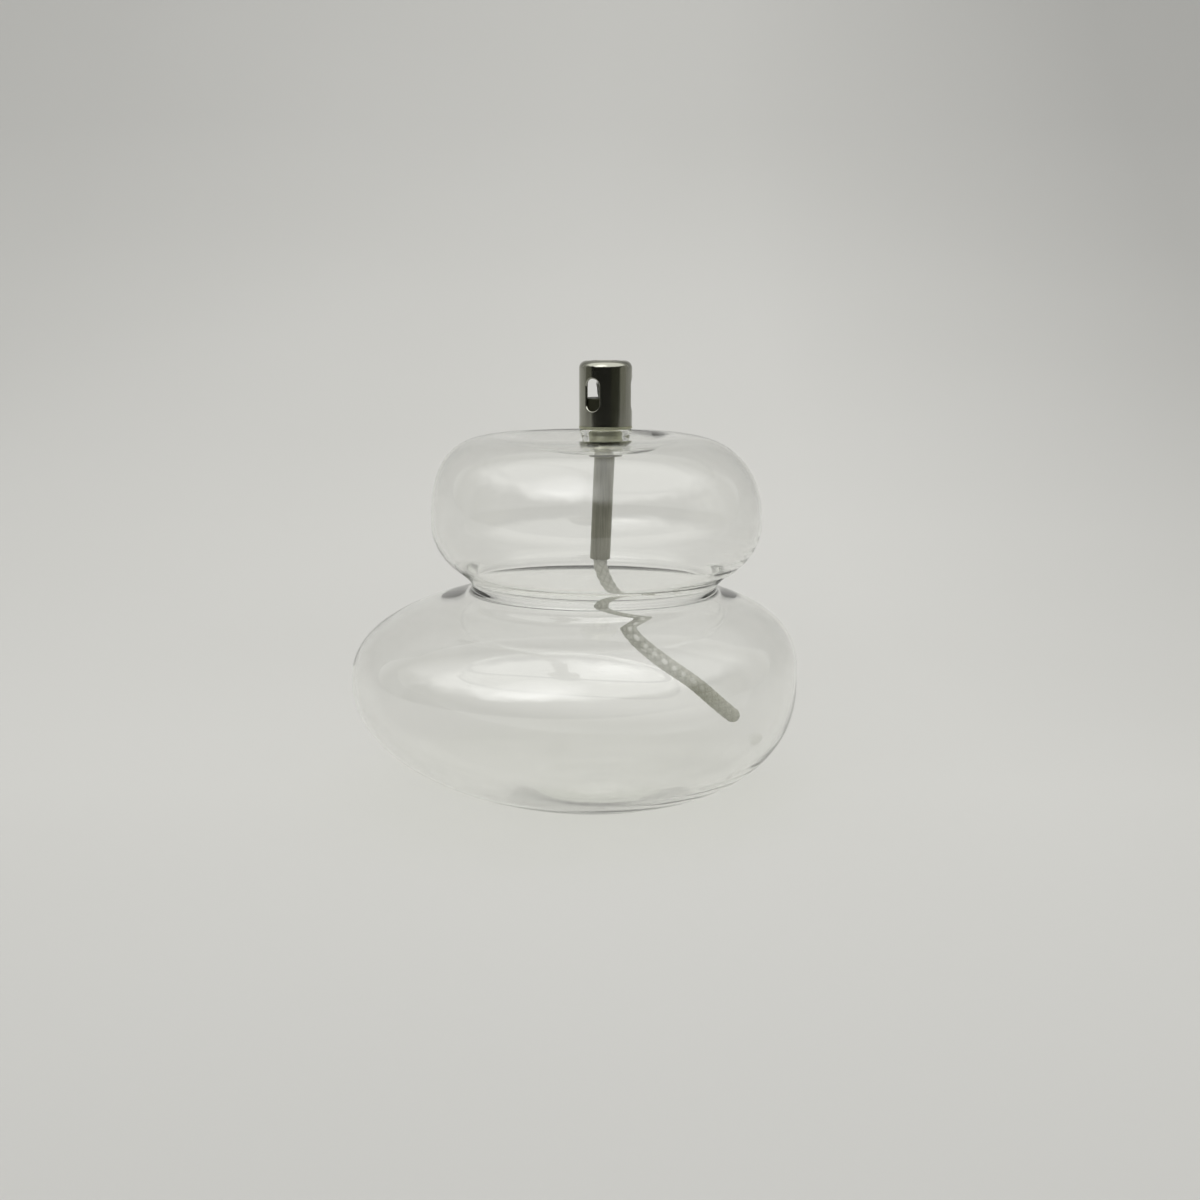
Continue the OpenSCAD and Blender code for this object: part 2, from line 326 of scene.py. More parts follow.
def shoulder(wall, fold_wall, fold):
    """The upper pebble from the radius fold to the dish's floor, wall inside its outer face and
    fold_wall at the fold."""
    points = []
    start = math.acos(((fold - UNDER_R) / (SHOULDER_R - fold_wall - UNDER_R)) ** (UNDER_N / 2))
    for i in range(PEBBLE_STEPS):
        t = 1 - i / PEBBLE_STEPS
        deep = wall + (fold_wall - wall) * t * t
        r, z = rounded(SHOULDER_R - deep - UNDER_R, UNDER_DROP - deep, UNDER_N, start * t)
        points.append((UNDER_R + r, SHOULDER_Z - z, WAIST_X))
    width, height = SHOULDER_R - wall - RIM_R, RIM_RISE - wall
    for i in range(PEBBLE_STEPS + 1):
        r, z = rounded(width, height, SHOULDER_N, math.pi / 2 * i / PEBBLE_STEPS)
        centre = WAIST_X + (RIM_X - WAIST_X) * (z / height) ** 2
        points.append((RIM_R + r, SHOULDER_Z + z, centre))
    for i in range(1, DISH_STEPS + 1):
        t = i / DISH_STEPS
        sunk = (1 - math.cos(math.pi * t)) / 2
        points.append((RIM_R + (DISH_R - RIM_R) * t, RIM_Z - wall - DISH_DEPTH * sunk,
                       RIM_X + (BURNER_X - RIM_X) * sunk))
    return points


def fold_between(lower, upper):
    """The turn of the waist: a curve that leaves lower and meets upper without a corner."""
    (r0, z0, _), (r1, z1, x1) = lower[-2:]
    (r2, z2, x2), (r3, z3, _) = upper[:2]
    below, above = (z1 - z0) / (r1 - r0), (z3 - z2) / (r3 - r2)
    tip_r = (z2 - z1 + below * r1 - above * r2) / (below - above)
    tip = (tip_r, z1 + below * (tip_r - r1), (x1 + x2) / 2)
    points = []
    for i in range(FOLD_STEPS + 1):
        t = i / FOLD_STEPS
        points.append(tuple((1 - t) ** 2 * a + 2 * t * (1 - t) * b + t * t * c
                            for a, b, c in zip(lower[-1], tip, upper[0])))
    return points


def eased(line, r0, r1, z0):
    """The line from radius r1 outwards, led in to it by a curve that starts level at (r0, z0)."""
    kept = [p for p in line if p[0] > r1]
    (ra, za, xa), (rb, zb, _) = kept[0], kept[1]
    slope = (zb - za) / (rb - ra) * (ra - r0)
    lead = []
    for i in range(LEAD_STEPS):
        t = i / LEAD_STEPS
        rise = t * t * (3 - 2 * t) * (za - z0) + t * t * (t - 1) * slope
        lead.append((r0 + (ra - r0) * t, z0 + rise, BASE_X + (xa - BASE_X) * t))
    return lead + kept


def vessel_profile():
    """The outer face from the base up, the mouth, and the inner face down to the floor."""
    lower, upper = belly(0, 0, FOLD_R), shoulder(0, 0, FOLD_R)
    outer = [(0, 0.1, BASE_X), (4, 0.08, BASE_X), (8, 0.02, BASE_X)]
    outer += even(eased(lower, 10, 30, 0.0), 1.5)
    outer += even(fold_between(lower, upper), 0.45)[1:] + even(upper, 0.9)[1:]

    mouth = arc(10.1, DISH_Z + 2.0, 2.0, 270, 185, 7)
    mouth += [(8.2, DISH_Z + 2.7), (8.4, DISH_Z + 3.5), (8.68, DISH_Z + 4.3)]
    mouth += arc(LIP_R - LIP_ROUND, LIP_Z - LIP_ROUND, LIP_ROUND, 0, 90)
    mouth += arc(MOUTH_R + LIP_ROUND, LIP_Z - LIP_ROUND, LIP_ROUND, 90, 180)
    mouth += [(MOUTH_R, LIP_Z - depth) for depth in (2.2, 3.6, 5.0)]
    mouth += arc(MOUTH_R + FOOT_ROUND, DISH_Z - WALL + FOOT_ROUND, FOOT_ROUND, 180, 270)

    lower, upper = belly(WALL, FLOOR_T, FOLD_LOW_R), shoulder(WALL, FOLD_WALL, FOLD_HIGH_R)
    inner = even(upper[::-1], 1.0) + even(fold_between(lower, upper)[::-1], 0.6)[1:]
    inner += even(eased(lower, 8, 30, FLOOR_T)[::-1], 1.7)[1:]
    inner += [(4, FLOOR_T + 0.03, BASE_X), (0, FLOOR_T + 0.05, BASE_X)]
    return outer + on_burner(mouth) + inner


def ripple(r, z, a):
    """Slow unevenness of blown glass, always inwards and the same on both faces of the wall."""
    wave = (math.sin(3 * a + z / 9 + 0.4) + 0.7 * math.sin(5 * a - z / 6 + 0.8)
            + 0.5 * math.sin(2 * a + z / 4))
    fine = (math.sin(z / 1.9 + 1.2 * math.sin(2 * a + 0.7) + 0.4)
            + 0.6 * math.sin(z / 2.7 - 1.7 * math.sin(3 * a) + 2.1))
    size = WAVE * (wave - WAVE_OFFSET) + FINE * (fine - FINE_OFFSET)
    turn = (math.degrees(a) + 180) % 360 - 180
    for depth, at, wide, height, tall, pitch, slant in MARKS:
        patch = math.exp(-((turn - at) / wide) ** 2 - ((z - height) / tall) ** 2)
        size += depth * patch * (math.sin(2 * math.pi * z / pitch + slant * a) - 1)
    return r + size * min(1, max(0, r - STILL_R) / FULL_RUN)


def pulled(r, z, a):
    """Tool marks round the mouth, where the glass was pulled out and sheared."""
    mark = (math.sin(4 * a + 1.5 * z) + 0.8 * math.sin(7 * a - 2.1 * z + 1)
            + 0.6 * math.sin(2 * a + 3.3 * z + 2))
    up = min(1, max(0, (z - DISH_Z) / (LIP_Z - DISH_Z - 0.6)))
    return r - PULL * (mark + PULL_OFFSET) * math.sin(math.pi * up) * (r > PULLED_R)


def blown(r, z, a):
    return pulled(r, z, a) if r < NECK_R else ripple(r, z, a)


def glass_material():
    """Clear glass. Light on its way to the paper goes straight through it, a little tinted."""
    n = new_material("blown_glass")
    glass = n.principled(
        Base_Color=(1.0, 1.0, 0.996, 1), Roughness=0.0, IOR=1.5, Transmission_Weight=1.0)
    facing = n.add("LayerWeight")
    facing.inputs["Blend"].default_value = 0.35
    through = n.add("BsdfTransparent")
    tint = n.ramp(facing.outputs["Facing"],
                  (0.0, (1.0, 1.0, 0.998)), (0.7, (0.994, 0.995, 0.99)), (1.0, (0.88, 0.89, 0.86)))
    n.feed(through.inputs["Color"], tint)
    path = n.add("LightPath").outputs
    light = n.math("MAXIMUM", path["Is Shadow Ray"], path["Is Diffuse Ray"])
    n.surface(n.shaders(light, glass.outputs[0], through.outputs[0]))
    depth = n.add("VolumeAbsorption")
    depth.inputs["Color"].default_value = ABSORBED
    depth.inputs["Density"].default_value = DENSITY
    n.feed(n.output.inputs["Volume"], depth.outputs[0])
    return n.owner


vessel = add_solid(
    "blown_vessel", lathe(vessel_profile(), VESSEL_SIDES, shape=blown), glass_material())
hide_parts("glass_vessel")
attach(vessel, "vessel")


# ---------------------------------------------------------------- metals
HEAD_H, HEAD_R = 9.5, 8.12
HEAD_Z = CAP_Z + HEAD_H
TURNED = (0.15, 0.15, 1)


def metal(name, colour, roughness, streak, streak_scale, relief, dark, shade_under_cap=False):
    """Machined metal. Its grain is drawn out along the axes where streak is small, and is dark
    times the colour at its darkest. Where asked, painted shade darkens it above the foot of the
    cap, inside the cap."""
    n = new_material(name)
    shader = n.principled(Metallic=1.0)
    grain = n.noise(n.position(streak), streak_scale, 5.0, 0.6)
    cloud = n.noise(n.position(location=(0.3, 0.1, 0.7)), 120.0, 3.0, 0.55)
    tone = n.ramp(n.math("MULTIPLY_ADD", cloud, 0.6, grain),
                  (0.45, tuple(c * dark for c in colour)), (1.0, colour))
    if shade_under_cap:
        # Painted shade: the metal darkens above the foot of the cap, where the cap covers it.
        height = n.mapped(n.axes(n.position())[2], start=CAP_Z * MM, stop=HEAD_Z * MM)
        painted_cap_shade = n.ramp(height, (0.02, 1), (0.3, (0.10, 0.10, 0.09)))
        tone = n.colours("MULTIPLY", 1.0, tone, painted_cap_shade)
    n.feed(shader.inputs["Base Color"], tone)
    n.feed(shader.inputs["Roughness"], n.mapped(grain, roughness * 0.75, roughness * 1.3))
    n.bump(grain, 0.25, relief, shader)
    n.surface(shader.outputs[0])
    return n.owner


plated = metal("plated_cap", (0.40, 0.40, 0.345), 0.10, (1, 1, 0.12), 1400.0, 0.000004, 0.86)
# The burner body gets painted shade inside the cap.
turned = metal("turned_body", (0.62, 0.625, 0.46), 0.42, TURNED, 2600.0, 0.00001, 0.75, shade_under_cap=True)
ring_metal = metal("turned_ring", (0.44, 0.44, 0.41), 0.24, TURNED, 2600.0, 0.00001, 0.8)
drawn = metal("drawn_tube", (0.38, 0.376, 0.315), 0.32, (1, 1, 0.04), 1800.0, 0.00001, 0.6)


# ---------------------------------------------------------------- the burner
TURNED_SIDES, TUBE_SIDES, METAL_ANGLE = 96, 72, 35
FLANGE_R, SPIGOT_R, SPIGOT_LEN, SOCKET_R, SOCKET_LEN, BORE_R = 9.0, 5.65, 7.1, 3.75, 4.2, 2.85
RING_IN_R = 3.85
TUBE_R, TUBE_IN_R, TUBE_TOP, TUBE_END = 3.5, 2.7, 2.8, 45.4


def turned_piece(name, profile, material):
    return add_solid(name, lathe(on_burner(profile), TURNED_SIDES, True), material, METAL_ANGLE)


spigot_z = LIP_Z - SPIGOT_LEN
body_profile = [
    (HEAD_R - 0.3, HEAD_Z), (HEAD_R, HEAD_Z - 0.3), (HEAD_R, CAP_Z + 0.02),
    (FLANGE_R - 0.12, CAP_Z), (FLANGE_R, CAP_Z - 0.12),
    (FLANGE_R, LIP_Z + 0.12), (FLANGE_R - 0.12, LIP_Z),
    (SPIGOT_R, LIP_Z - 0.02), (SPIGOT_R, spigot_z),
    (SOCKET_R, spigot_z), (SOCKET_R, spigot_z + SOCKET_LEN),
    (BORE_R, spigot_z + SOCKET_LEN + 0.2), (BORE_R, HEAD_Z - 0.3), (BORE_R + 0.3, HEAD_Z),
]
body = turned_piece("turned_burner", body_profile, turned)
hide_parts("burner_body")
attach(body, "burner")

ring_profile = [
    (RING_IN_R, RING_Z), (SPIGOT_R - 0.2, RING_Z), (SPIGOT_R, RING_Z + 0.2),
    (SPIGOT_R, RING_TOP - 0.12), (SPIGOT_R - 0.12, RING_TOP - 0.02), (RING_IN_R, RING_TOP - 0.02),
]
closing_ring = turned_piece("closing_ring", ring_profile, ring_metal)
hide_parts("retaining_ring")
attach(closing_ring, "burner")

tube_profile = [
    (TUBE_IN_R, -TUBE_TOP), (TUBE_R, -TUBE_TOP),
    (TUBE_R, -TUBE_END + 0.2), (TUBE_R - 0.2, -TUBE_END),
    (TUBE_IN_R + 0.1, -TUBE_END), (TUBE_IN_R, -TUBE_END + 0.1),
]
bm = lathe([(r, z, 0) for r, z in tube_profile], TUBE_SIDES, True)
lean = Matrix.Rotation(TUBE_LEAN, 4, "Y")
lean = Matrix.Translation((BURNER_X * MM, 0, LIP_Z * MM)) @ lean
bmesh.ops.transform(bm, matrix=lean, verts=bm.verts)
tube = add_solid("drawn_wick_tube", bm, drawn, METAL_ANGLE)
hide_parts("wick_tube")
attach(tube, "burner")


# ---------------------------------------------------------------- the flame cap
CAP_R, CAP_IN_R, CAP_WALL, CAP_ROUND, HOLE_R = 9.0, 8.2, 0.8, 2.6, 5.0
CAP_SIDES, ROW_STEP, ROWS, CAP_ANGLE = 144, 0.8, 23, 32
SLOT_W, SLOT_LEN, SLOT_RISE, SLOT_TURN = 4.9, 10.8, 5.3, 30.5
EDGE_R, EDGE_SIDES, EDGE_STEP = 0.4, 12, 0.35
slot_turns = [Matrix.Rotation(-math.radians(SLOT_TURN + 120 * i), 4, "Z") for i in range(3)]


def slot_outline():
    """The cut of a slot in the plane of x and z, larger than the slot by the bead on its edge."""
    r = SLOT_W / 2 + EDGE_R
    low, high = SLOT_RISE + SLOT_W / 2, SLOT_RISE + SLOT_LEN - SLOT_W / 2
    return arc(0, high, r, 0, 180, 24) + arc(0, low, r, 180, 360, 24)


def slot_edge():
    """The rounded edge of a slot: a bead as thick as the wall, along the cut that faces -Y."""
    line = even(slot_outline() + slot_outline()[:1], EDGE_STEP)[:-1]
    middle = CAP_R - EDGE_R
    path = [Vector((x, -math.sqrt(middle * middle - x * x), z)) for x, z in line]
    bm = bmesh.new()
    rings = []
    for i, point in enumerate(path):
        ahead = (path[(i + 1) % len(path)] - path[i - 1]).normalized()
        out = Vector((point.x, point.y, 0)).normalized()
        out = (out - ahead * out.dot(ahead)).normalized()
        side = ahead.cross(out)
        rings.append([bm.verts.new((point + EDGE_R * (math.cos(b) * out + math.sin(b) * side)) * MM)
                      for b in around(EDGE_SIDES)])
    skin_rings(bm, rings, EDGE_SIDES, True)
    return bm


def slot_cutter():
    """A bar with the slot's outline that points along -Y from the cap's axis."""
    bm = bmesh.new()
    outline = slot_outline()
    near, far = ([bm.verts.new((x * MM, y * MM, z * MM)) for x, z in outline] for y in (-2, -14))
    skin_rings(bm, [near, far], len(outline))
    bm.faces.new(near)
    bm.faces.new(far[::-1])
    return bm


def cap_profile():
    under, inner_round = CAP_H - CAP_WALL, CAP_ROUND - CAP_WALL
    rows = [ROW_STEP * i for i in range(1, ROWS + 1)]
    profile = [(CAP_IN_R, 0.12), (CAP_IN_R + 0.12, 0), (CAP_R - 0.15, 0), (CAP_R, 0.15)]
    profile += [(CAP_R, z) for z in rows]
    profile += arc(CAP_R - CAP_ROUND, CAP_H - CAP_ROUND, CAP_ROUND, 0, 90, 12)
    profile += [(HOLE_R + 0.15, CAP_H), (HOLE_R, CAP_H - 0.15)]
    profile += [(HOLE_R, under + 0.1), (HOLE_R + 0.1, under)]
    profile += arc(CAP_IN_R - inner_round, under - inner_round, inner_round, 90, 0, 10)
    profile += [(CAP_IN_R, z) for z in rows[::-1]]
    return [(r, z, 0) for r, z in profile]


def cap_object():
    """The turned cap, with three slots cut through its wall and a bead joined on round each cut."""
    cap = add_solid("slotted_cap", lathe(cap_profile(), CAP_SIDES, True), plated)
    cutters = []
    for i, turn in enumerate(slot_turns):
        bm = slot_cutter()
        bmesh.ops.transform(bm, matrix=turn, verts=bm.verts)
        cutters.append(add_solid(f"cutter_{i}", bm, plated))
        cut = cap.modifiers.new(f"slot_{i}", "BOOLEAN")
        cut.operation, cut.solver, cut.object = "DIFFERENCE", "EXACT", cutters[-1]
    bpy.context.view_layer.update()
    evaluated = cap.evaluated_get(bpy.context.evaluated_depsgraph_get())
    mesh = bpy.data.meshes.new_from_object(evaluated)
    cap.modifiers.clear()
    cap.data = mesh
    for cutter in cutters:
        bpy.data.objects.remove(cutter)
    bm = bmesh.new()
    bm.from_mesh(mesh)
    for turn in slot_turns:
        edge = slot_edge()
        bmesh.ops.recalc_face_normals(edge, faces=edge.faces)
        bmesh.ops.transform(edge, matrix=turn, verts=edge.verts)
        bead = bpy.data.meshes.new("edge")
        edge.to_mesh(bead)
        edge.free()
        bm.from_mesh(bead)
        bpy.data.meshes.remove(bead)
    bm.to_mesh(mesh)
    bm.free()
    mesh.transform(Matrix.Translation((BURNER_X * MM, 0, CAP_Z * MM)))
    mesh.shade_smooth()
    mesh.set_sharp_from_angle(angle=math.radians(CAP_ANGLE))
    return cap


cap = cap_object()
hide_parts("flame_cap")
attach(cap, "cap")


# ---------------------------------------------------------------- the wick
WICK_R, HELD_R = 2.5, 2.4
TAIL_R, TAIL_END_R, TAIL_SIDES, TAIL_STEP, TAIL_RELIEF = 2.45, 2.9, 60, 0.42, 0.42
HELD_SIDES, HELD_STEP, HELD_RELIEF = 40, 0.8, 0.35
STRANDS, CELL, GAP_STEP, UV_RUN = 5, 3.7, 4.7, 50.0
CURVE_STEPS = 24
WICK_ROUTE = [
    (8.8, 0, 81.5), (9.1, 0.1, 79), (9.8, 0.4, 76.4), (10.8, 0.8, 73.4), (12.1, 1.4, 70),
    (13.7, 2, 66.2), (15.6, 2.8, 62.4), (17.8, 3.7, 58.7), (20.4, 4.8, 55), (23.6, 6.1, 51.5),
    (27.4, 7.7, 48), (31.6, 9.4, 44.6), (35.8, 11.2, 41.3), (40.1, 13, 37.9), (44.3, 14.7, 34.2),
    (48.7, 16.5, 29.9), (53, 18.3, 25.7), (57, 20, 21.9), (59.7, 21.1, 19.4),
]


def along_tube(drop):
    """The point on the leaning tube's axis that lies drop below the lip."""
    return Vector((BURNER_X - drop * math.sin(TUBE_LEAN), 0, LIP_Z - drop * math.cos(TUBE_LEAN)))


def smooth_path(points, step):
    """A Catmull-Rom line through the points, in steps of about step."""
    p = [Vector(q) for q in points]
    p = [2 * p[0] - p[1]] + p + [2 * p[-1] - p[-2]]
    dense = []
    for i in range(1, len(p) - 2):
        a, b, c, d = p[i - 1: i + 3]
        for k in range(CURVE_STEPS):
            t = k / CURVE_STEPS
            dense.append(0.5 * (2 * b + (c - a) * t + (2 * a - 5 * b + 4 * c - d) * t * t
                                + (3 * b - a - 3 * c + d) * t ** 3))
    dense.append(p[-2])
    return [Vector(q) for q in even([tuple(q) for q in dense], step)]


def path_length(path):
    return sum((b - a).length for a, b in zip(path, path[1:]))


def braid_height(turn, run):
    """Height of the braid's surface, 0 to 1, at a turn round the wick and a run along it."""
    a, b = STRANDS * turn + run / CELL, STRANDS * turn - run / CELL
    over = math.cos(math.pi * (a - math.floor(a) - 0.5))
    under = math.cos(math.pi * (b - math.floor(b) - 0.5))
    if (math.floor(a) + math.floor(b)) % 2:
        over, under = under, over
    return max(0.0, over) ** 0.55 * (0.5 + 0.5 * max(0.0, under))


def sweep(path, thick, end_thick, sides, relief):
    """A braided rope along path, with rounded ends, that loosens from one radius to another. Its u
    runs once round it, and its v grows by one over each UV_RUN of its length."""
    bm = bmesh.new()
    uv = bm.loops.layers.uv.new("UVMap")
    side = (path[1] - path[0]).normalized().cross(Vector((0, 1, 0))).normalized()
    rings, where, run = [], {}, 0.0
    total = path_length(path)
    for i, point in enumerate(path):
        ahead = (path[min(i + 1, len(path) - 1)] - path[max(i - 1, 0)]).normalized()
        side = (side - ahead * side.dot(ahead)).normalized()
        up = ahead.cross(side)
        if i:
            run += (point - path[i - 1]).length
        loose = min(1, max(0, (run / total - 0.08) / 0.8))
        radius = thick + (end_thick - thick) * loose * loose * (3 - 2 * loose)
        near = min(run, total - run, radius)
        shrink = math.sqrt(max(0.0, 1 - (1 - near / radius) ** 2))
        if shrink < 1e-3:
            ring = [bm.verts.new(point * MM)]
        else:
            ring = []
            for j in range(sides):
                turn = j / sides
                r = (radius - relief * (1 - braid_height(turn, run))) * shrink
                a = 2 * math.pi * turn
                out = math.cos(a) * side + math.sin(a) * up
                ring.append(bm.verts.new((point + r * out) * MM))
        for j, vert in enumerate(ring):
            where[vert] = (j / sides, run / UV_RUN)
        rings.append(ring)
    skin_rings(bm, rings, sides)
    for face in bm.faces:
        across = [where[loop.vert][0] for loop in face.loops]
        wraps = max(across) - min(across) > 0.5
        for loop in face.loops:
            u, v = where[loop.vert]
            loop[uv].uv = (u + 1 if wraps and u < 0.5 else u, v)
    return bm


def wick_material():
    """Fibre whose grey is partly grime and partly painted shade, with darker lines between its
    strands.
    The braid has opened up over the middle of the tail, where pale gaps, partly painted highlight,
    show along the side that faces the camera, and is plainer and darker towards the end."""
    n = new_material("braided_fibre")
    shader = n.principled(Specular_IOR_Level=0.5, Sheen_Weight=0.2, Sheen_Roughness=0.4)
    across, along, _ = n.axes(n.add("TexCoord").outputs["UV"])
    run = n.math("MULTIPLY", along, 0.5)
    loose = n.math("MULTIPLY_ADD", n.noise(n.position(), 220.0, 1.0, 0.4), 0.5, -0.25)
    fibres = n.noise(n.position((40.0, 60.0, 1), source="UV"), 1.0, 4.0, 0.65)

    def from_middle(value):
        """How far a value is from the middle between two whole numbers."""
        return n.math("ABSOLUTE", n.math("SUBTRACT", n.math("FRACT", value), 0.5))

    def strand_edge(sign):
        slant = n.math("MULTIPLY_ADD", along, sign * UV_RUN / CELL, loose)
        return from_middle(n.math("MULTIPLY_ADD", across, STRANDS, slant))

    # The fibre's grey is partly grime and partly painted shade.
    base = n.ramp(fibres, (0.30, (0.33, 0.33, 0.29)), (0.70, (0.55, 0.55, 0.495)))
    edge = n.math("MAXIMUM", strand_edge(1), strand_edge(-1))
    lines = n.ramp(edge, (0.30, 1), (0.49, (0.50, 0.50, 0.46)))
    tone = n.colours("MULTIPLY", n.ramp(run, (0.15, 0.5), (0.45, 0.4), (0.65, 0.2)), base, lines)
    end = n.ramp(run, (0.48, 1), (0.62, (0.89, 0.89, 0.85)))
    tone = n.colours("MULTIPLY", 1.0, tone, end)

    # Pale patches along the side of the wick that faces the camera: partly gaps of the opened
    # braid, partly painted highlight on its lit middle.
    middle = n.math("MULTIPLY", from_middle(n.math("MULTIPLY_ADD", across, 2.0, 0.14)), 7.5)
    beat = n.math("MULTIPLY_ADD", along, UV_RUN / GAP_STEP, loose)
    beat = n.math("MULTIPLY", from_middle(beat), 3.0)
    squares = (n.math("MULTIPLY", value, value) for value in (middle, beat))
    off = n.math("SQRT", n.math("ADD", *squares))
    off = n.math("ADD", off, n.math("MULTIPLY_ADD", fibres, 1.6, -0.8))
    opened = n.ramp(run, (0.25, 0), (0.31, 1), (0.55, 0.75), (0.72, 0))
    opened_gap_highlight = n.math("MULTIPLY", n.ramp(off, (0.5, 1), (1.0, 0)), opened)
    # Mixes in the pale gaps together with the painted highlight.
    tone = n.colours("MIX", opened_gap_highlight, tone, (0.69, 0.69, 0.65, 1))
    n.feed(shader.inputs["Base Color"], tone)
    n.feed(shader.inputs["Roughness"], n.mapped(fibres, 0.45, 0.65))
    n.bump(fibres, 0.4, 0.00008, shader)
    n.surface(shader.outputs[0])
    return n.owner


fibre = wick_material()
tail_path = smooth_path([along_tube(41.2), along_tube(43.4)] + WICK_ROUTE, TAIL_STEP)
tail_braid = sweep(tail_path, TAIL_R, TAIL_END_R, TAIL_SIDES, TAIL_RELIEF)
tail = add_solid("braided_wick_tail", tail_braid, fibre)
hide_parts("wick_tail")
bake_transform(tail)

FIBRES, FIBRE_SIDES, FIBRE_STEPS, FIBRE_R = 110, 5, 5, 0.2
GOLDEN_TURN, SPLAY_FOOT, SPLAY_TOP, SPLAY_H = 2.399963, 2.1, 3.45, 7.0


def lit_end(bm, seed=7):
    """The fibres that splay out of the braid's cut end, added to bm."""
    draw = random.Random(seed)
    foot = HEAD_Z - 1
    for i in range(FIBRES):
        share = math.sqrt((i + 0.5) / FIBRES)
        a = i * GOLDEN_TURN + draw.uniform(-0.1, 0.1)
        height = HEAD_Z + SPLAY_H - foot - 1.6 * share ** 2 - draw.uniform(0, 0.8)
        rings = []
        for k in range(FIBRE_STEPS + 1):
            t = k / FIBRE_STEPS
            out = share * (SPLAY_FOOT + (SPLAY_TOP - SPLAY_FOOT) * t ** 1.5)
            out += 0.25 * math.sin(6 * t + i)
            centre = Vector((BURNER_X + out * math.cos(a), out * math.sin(a), foot + height * t))
            thick = FIBRE_R * (1 - 0.5 * t)
            rings.append([
                bm.verts.new((centre + Vector((thick * math.cos(b), thick * math.sin(b), 0))) * MM)
                for b in around(FIBRE_SIDES)])
        skin_rings(bm, rings, FIBRE_SIDES)
        bm.faces.new(rings[0][::-1])
        bm.faces.new(rings[-1])
    return bm


core_path = [along_tube(d) for d in (42.6, 30.0, 18.0, 6.0)]
core_path += [Vector((BURNER_X, 0, z)) for z in (LIP_Z + 1, LIP_Z + 6, HEAD_Z + 0.2)]
core_braid = sweep(smooth_path(core_path, HELD_STEP), HELD_R, HELD_R, HELD_SIDES, HELD_RELIEF)
core = add_solid("held_wick", lit_end(core_braid), fibre)
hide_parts("wick_core")
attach(core, "wick")


# ---------------------------------------------------------------- the paper, in metres
PAPER_SPAN = (-1.0, 2.0)
# Painted shade on the paper: levels across x and along y, darker towards the sides, the front and
# the top where the light falls off.
SHADE_ACROSS = ((-0.55, 0.905), (-0.2, 0.97), (0.0, 1.0), (0.157, 0.985), (0.4, 0.86), (0.6, 0.76))
SHADE_ALONG = (
    (-0.25, 0.82), (-0.1, 0.90), (0.0, 0.96), (0.47, 1.0), (0.93, 0.95), (1.2, 0.88), (1.4, 0.89))
BEND_Y, BEND_R = 0.2, 1.5


def paper_material():
    """Warm grey paper with painted shade: it darkens slowly across x and along y, where the light
    falls off.
    """
    n = new_material("paper")
    shader = n.principled(Roughness=0.85, Specular_IOR_Level=0.15)
    cloud = n.noise(n.position(), 1.6, 2.0, 0.5)
    tone = n.ramp(cloud, (0.3, (0.683, 0.683, 0.66)), (0.7, (0.713, 0.713, 0.692)))
    start, stop = PAPER_SPAN
    for axis, stops in zip(n.axes(n.position()), (SHADE_ACROSS, SHADE_ALONG)):
        at = n.mapped(axis, start=start, stop=stop)
        shade = n.ramp(at, *(((place - start) / (stop - start), level) for place, level in stops))
        tone = n.colours("MULTIPLY", 1.0, tone, shade)
    n.feed(shader.inputs["Base Color"], tone)
    n.feed(shader.inputs["Roughness"], n.mapped(n.noise(n.position(), 600.0, 3.0), 0.8, 0.9))
    n.surface(shader.outputs[0])
    return n.owner


def paper_sweep():
    bm = bmesh.new()
    line = [(-0.95, 0.0), (-0.5, 0.0), (0.0, 0.0), (BEND_Y, 0.0)]
    line += [(BEND_Y + BEND_R * math.sin(a), BEND_R - BEND_R * math.cos(a))
             for a in map(math.radians, range(3, 88, 3))]
    line += [(1.72, 1.8), (1.74, 2.4)]
    rows = [[bm.verts.new((x, y, z)) for x in (-2.4, -1.2, 0, 1.2, 2.4)] for y, z in line]
    for a, b in zip(rows, rows[1:]):
        for j in range(4):
            bm.faces.new((a[j], a[j + 1], b[j + 1], b[j]))
    obj = add_object("paper_sweep", bm, paper_material())


paper_sweep()


# ---------------------------------------------------------------- light
LIT_POINT = (0.01, 0.0, 0.07)


def area_light(name, place, size, watts, colour):
    """An area light turned to the object. Reflections and glass don't show it."""
    data = bpy.data.lights.new(name, "AREA")
    data.shape, data.size, data.size_y = "RECTANGLE", size[0], size[1]
    data.energy, data.color = watts, colour
    obj = bpy.data.objects.new(name, data)
    obj.visible_glossy = obj.visible_transmission = False
    obj.location = place
    obj.rotation_euler = (Vector(LIT_POINT) - Vector(place)).to_track_quat("-Z", "Y").to_euler()
    bpy.context.scene.collection.objects.link(obj)


area_light("ceiling", (0.1, -0.1, 1.7), (1.6, 1.2), 11.5, (1.0, 0.99, 0.97))
area_light("window_left", (-0.55, -1.2, 0.95), (0.5, 0.7), 2.6, (1.0, 1.0, 1.0))
area_light("window_right", (0.75, -1.1, 0.75), (0.3, 0.5), 1.0, (1.0, 1.0, 1.0))


# ---------------------------------------------------------------- the room that is reflected
PAPER_GREY, DIM_GREY, DARK = (0.64, 0.64, 0.62), (0.36, 0.36, 0.33), (0.025, 0.025, 0.022)
FILL, FILL_STRENGTH, WINDOW_STRENGTH = (1.0, 0.995, 0.98), 0.62, 4.0
WINDOW_AT = (-0.37, -0.73, 0.57)


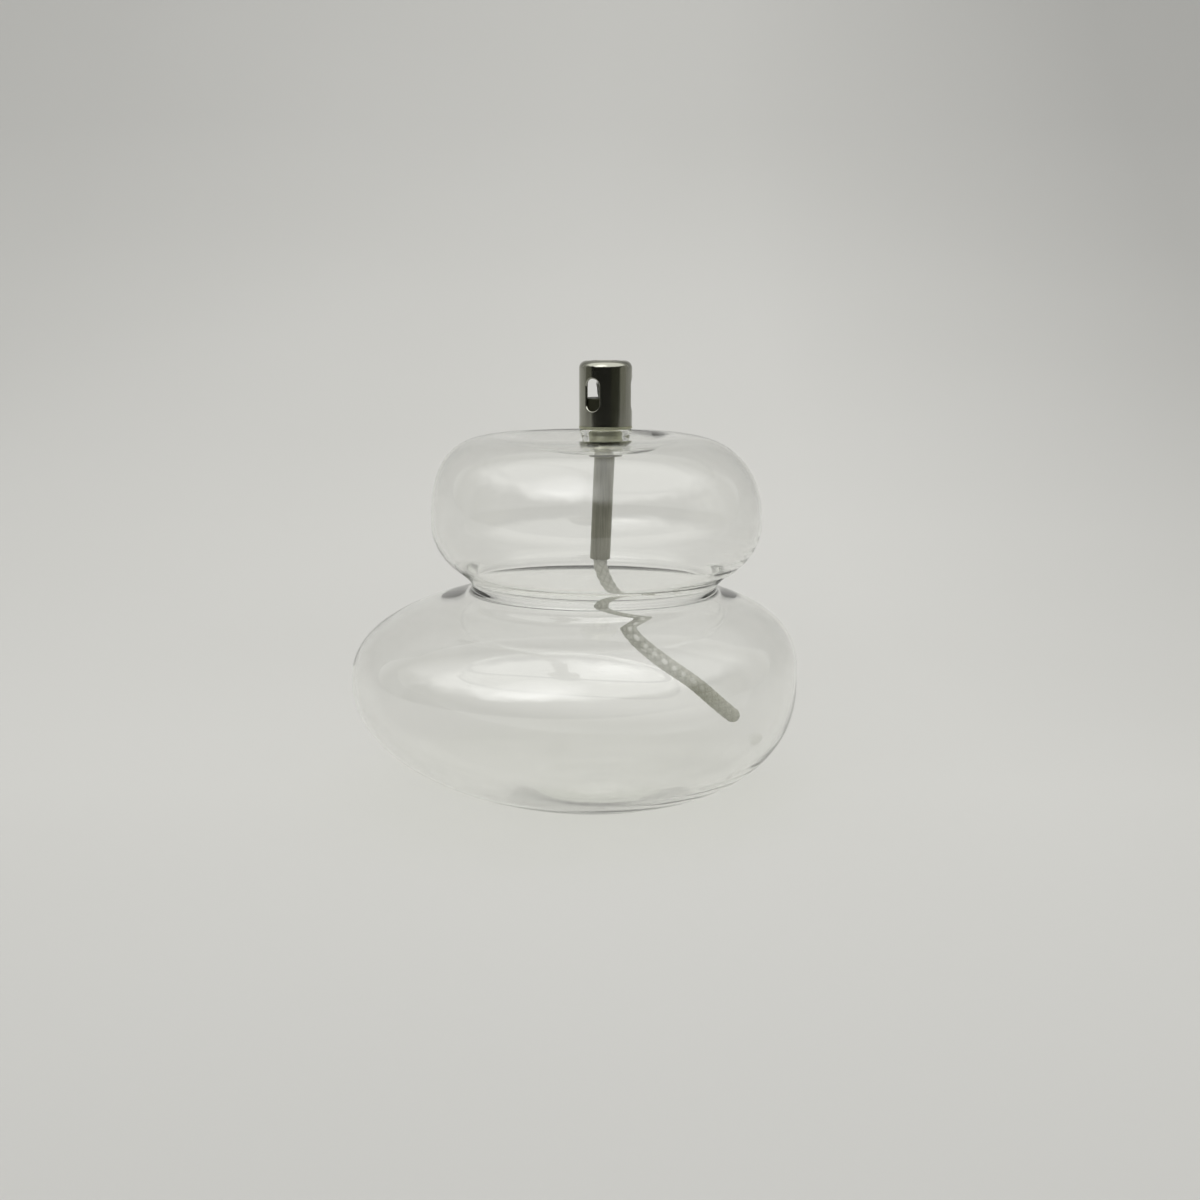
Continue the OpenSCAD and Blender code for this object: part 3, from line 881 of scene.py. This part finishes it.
def room():
    """Plain even fill for diffuse light, pale paper seen through the glass, and a room that metal
    and glass reflect: paper behind, dim at the sides, dark in front, and a pale ceiling that is
    brightest round one window."""
    n = Nodes(bpy.data.worlds.new("room"), "OutputWorld")
    bpy.context.scene.world = n.owner

    def background(colour, strength=1.0):
        node = n.add("Background")
        node.inputs["Strength"].default_value = strength
        n.feed(node.inputs["Color"], (*colour, 1) if isinstance(colour, tuple) else colour)
        return node.outputs[0]

    direction = n.add("TexCoord").outputs["Generated"]
    x, y, z = n.axes(direction)
    right, back = (n.math("MULTIPLY_ADD", axis, 0.5, 0.5) for axis in (x, y))
    wander = n.math("MULTIPLY_ADD", n.noise(direction, 3.2, 2.5), 0.5, -0.25)
    walls = n.ramp(
        right, (0.0, (0.17, 0.17, 0.14)), (0.045, (0.13, 0.13, 0.105)), (0.06, DARK), (0.69, DARK),
        (0.71, (0.04, 0.042, 0.03)), (0.94, (0.05, 0.052, 0.038)), (0.97, (0.28, 0.28, 0.24)))
    behind = n.ramp(back, (0.50, 0), (0.56, DIM_GREY), (0.70, DIM_GREY), (0.77, PAPER_GREY))
    around_it = background(n.colours("LIGHTEN", 1.0, walls, behind))

    distance = n.add("VectorMath", operation="DISTANCE")
    n.feed(distance.inputs[0], direction)
    n.feed(distance.inputs[1], WINDOW_AT)
    from_window = n.math("ADD", distance.outputs["Value"], wander)
    glow = n.ramp(from_window, (0.0, 1), (0.55, (0.38, 0.38, 0.37)))
    above = n.ramp(n.math("ADD", z, wander), (0.40, 0), (0.56, 1))
    ahead = n.ramp(back, (0.55, 1), (0.70, 0))
    open_sky = n.math("MULTIPLY", above, ahead)
    mirrored = n.shaders(open_sky, around_it, background(glow, WINDOW_STRENGTH))

    path = n.add("LightPath").outputs
    seen = n.math("MAXIMUM", path["Is Camera Ray"], path["Is Transmission Ray"])
    plain = n.shaders(seen, background(FILL, FILL_STRENGTH), background(PAPER_GREY))
    n.surface(n.shaders(path["Is Glossy Ray"], plain, mirrored))


room()
cycles = bpy.context.scene.cycles
cycles.max_bounces = cycles.transmission_bounces = 24
cycles.glossy_bounces = cycles.transparent_max_bounces = 24
cycles.caustics_reflective = cycles.caustics_refractive = False
